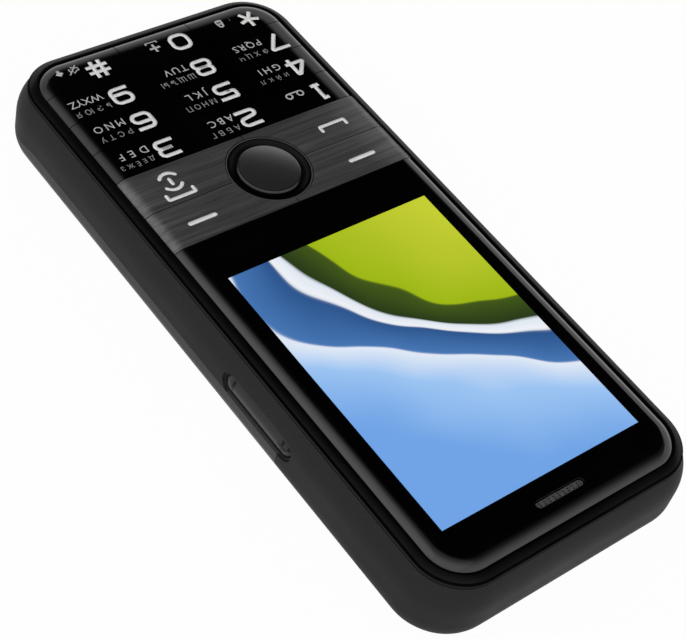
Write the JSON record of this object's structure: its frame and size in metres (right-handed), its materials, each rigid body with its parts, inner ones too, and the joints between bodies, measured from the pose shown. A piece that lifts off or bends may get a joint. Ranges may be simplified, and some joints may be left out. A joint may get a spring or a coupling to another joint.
{
  "type": "candybar phone",
  "caption": "Candybar phone: screen over a brushed function plate and a gloss keypad with rolled edges, round navigation key, side volume rocker and lift-off battery cover.",
  "frame": {"origin": "middle of the back, on the surface that the phone lies on", "axes": "+X to the volume key, +Y to the earpiece end, +Z out of the screen"},
  "size_m": [0.0596, 0.1308, 0.017],
  "materials": {
    "matte_shell": "fine matte texture",
    "matte_cover": "fine matte texture",
    "matte_key": "satin",
    "gloss_rim": "polished",
    "window": "polished",
    "key_gloss": "polished, printed numbers",
    "brushed_plate": "brushed metal look",
    "nav_gloss": "satin",
    "mesh": "woven",
    "rubber": "moulded",
    "display": "lit display",
    "inner_plastic": "moulded",
    "flex": "film",
    "board": "solder mask",
    "steel": "stamped",
    "dome_film": "film with snap domes",
    "battery_case": "wrapped cell",
    "contact_gold": "plated",
    "clear_lens": "clear moulded"
  },
  "bodies": {
    "chassis": {"rear_housing": "matte_shell", "front_bezel": "gloss_rim", "display_window": "window", "window_tape": "rubber", "earpiece_mesh": "mesh", "earpiece_boot": "rubber", "earpiece_receiver": "steel", "lcd_panel": "display", "lcd_holder": "inner_plastic", "lcd_flex": "flex", "main_board": "board", "shield_can": "steel", "board_chips": "inner_plastic", "dome_sheet": "dome_film", "keypad_mat": "rubber", "nav_surround": "gloss_rim", "side_key_board": "flex", "battery": "battery_case", "battery_contacts": "contact_gold", "sim_socket_1": "steel", "sim_socket_2": "steel", "memory_socket": "steel", "camera_module": "inner_plastic", "camera_window": "window", "flash_lens": "clear_lens", "loudspeaker": "inner_plastic", "speaker_mesh": "mesh", "vibration_motor": "steel", "usb_socket": "steel", "headphone_socket": "inner_plastic", "microphone": "steel", "antenna": "inner_plastic", "housing_screws": "steel"},
    "key_1": {"key_1": "key_gloss"},
    "key_2": {"key_2": "key_gloss"},
    "key_3": {"key_3": "key_gloss"},
    "key_4": {"key_4": "key_gloss"},
    "key_5": {"key_5": "key_gloss"},
    "key_6": {"key_6": "key_gloss"},
    "key_7": {"key_7": "key_gloss"},
    "key_8": {"key_8": "key_gloss"},
    "key_9": {"key_9": "key_gloss"},
    "key_star": {"key_star": "key_gloss"},
    "key_0": {"key_0": "key_gloss"},
    "key_hash": {"key_hash": "key_gloss"},
    "soft_key_left": {"soft_key_left": "brushed_plate"},
    "soft_key_right": {"soft_key_right": "brushed_plate"},
    "call_key": {"call_key": "brushed_plate"},
    "end_key": {"end_key": "brushed_plate"},
    "nav_plunger": {"nav_plunger": "rubber"},
    "nav_rocker": {"nav_rocker": "inner_plastic"},
    "nav_pad": {"nav_pad": "nav_gloss"},
    "volume_key": {"volume_key": "matte_key"},
    "battery_cover": {"battery_cover": "matte_cover"},
    "motor_weight": {"motor_weight": "steel"}
  },
  "joints": [
    {"name": "key_1_press", "type": "slide", "parent": "chassis", "child": "key_1", "axis": [0, 0, -1], "range_m": [0, 0.00035], "stiffness_N_per_m": 3000},
    {"name": "key_2_press", "type": "slide", "parent": "chassis", "child": "key_2", "axis": [0, 0, -1], "range_m": [0, 0.00035], "stiffness_N_per_m": 3000},
    {"name": "key_3_press", "type": "slide", "parent": "chassis", "child": "key_3", "axis": [0, 0, -1], "range_m": [0, 0.00035], "stiffness_N_per_m": 3000},
    {"name": "key_4_press", "type": "slide", "parent": "chassis", "child": "key_4", "axis": [0, 0, -1], "range_m": [0, 0.00035], "stiffness_N_per_m": 3000},
    {"name": "key_5_press", "type": "slide", "parent": "chassis", "child": "key_5", "axis": [0, 0, -1], "range_m": [0, 0.00035], "stiffness_N_per_m": 3000},
    {"name": "key_6_press", "type": "slide", "parent": "chassis", "child": "key_6", "axis": [0, 0, -1], "range_m": [0, 0.00035], "stiffness_N_per_m": 3000},
    {"name": "key_7_press", "type": "slide", "parent": "chassis", "child": "key_7", "axis": [0, 0, -1], "range_m": [0, 0.00035], "stiffness_N_per_m": 3000},
    {"name": "key_8_press", "type": "slide", "parent": "chassis", "child": "key_8", "axis": [0, 0, -1], "range_m": [0, 0.00035], "stiffness_N_per_m": 3000},
    {"name": "key_9_press", "type": "slide", "parent": "chassis", "child": "key_9", "axis": [0, 0, -1], "range_m": [0, 0.00035], "stiffness_N_per_m": 3000},
    {"name": "key_star_press", "type": "slide", "parent": "chassis", "child": "key_star", "axis": [0, 0, -1], "range_m": [0, 0.00035], "stiffness_N_per_m": 3000},
    {"name": "key_0_press", "type": "slide", "parent": "chassis", "child": "key_0", "axis": [0, 0, -1], "range_m": [0, 0.00035], "stiffness_N_per_m": 3000},
    {"name": "key_hash_press", "type": "slide", "parent": "chassis", "child": "key_hash", "axis": [0, 0, -1], "range_m": [0, 0.00035], "stiffness_N_per_m": 3000},
    {"name": "soft_key_left_press", "type": "slide", "parent": "chassis", "child": "soft_key_left", "axis": [0, 0, -1], "range_m": [0, 0.00035], "stiffness_N_per_m": 3000},
    {"name": "soft_key_right_press", "type": "slide", "parent": "chassis", "child": "soft_key_right", "axis": [0, 0, -1], "range_m": [0, 0.00035], "stiffness_N_per_m": 3000},
    {"name": "call_key_press", "type": "slide", "parent": "chassis", "child": "call_key", "axis": [0, 0, -1], "range_m": [0, 0.00035], "stiffness_N_per_m": 3000},
    {"name": "end_key_press", "type": "slide", "parent": "chassis", "child": "end_key", "axis": [0, 0, -1], "range_m": [0, 0.00035], "stiffness_N_per_m": 3000},
    {"name": "nav_press", "type": "slide", "parent": "chassis", "child": "nav_plunger", "axis": [0, 0, -1], "range_m": [0, 0.00035], "stiffness_N_per_m": 3000},
    {"name": "nav_tilt_up_down", "type": "hinge", "parent": "nav_plunger", "child": "nav_rocker", "pos_m": [0, -0.02217, 0.01482], "axis": [1, 0, 0], "range_deg": [-2.5, 2.5], "stiffness_Nm_per_rad": 0.14},
    {"name": "nav_tilt_left_right", "type": "hinge", "parent": "nav_rocker", "child": "nav_pad", "pos_m": [0, -0.02217, 0.01482], "axis": [0, 1, 0], "range_deg": [-2.5, 2.5], "stiffness_Nm_per_rad": 0.14},
    {"name": "volume_rock", "type": "hinge", "parent": "chassis", "child": "volume_key", "pos_m": [0.0263, 0.0176, 0.0092], "axis": [0, 0, 1], "range_deg": [-1.5, 1.5], "stiffness_Nm_per_rad": 0.45},
    {"name": "cover_lift", "type": "slide", "parent": "chassis", "child": "battery_cover", "axis": [0, 0, -1], "range_m": [0, 0.02]},
    {"name": "motor_spin", "type": "hinge", "parent": "chassis", "child": "motor_weight", "pos_m": [0.0178, -0.0444, 0.00635], "axis": [1, 0, 0], "continuous": true}
  ]
}
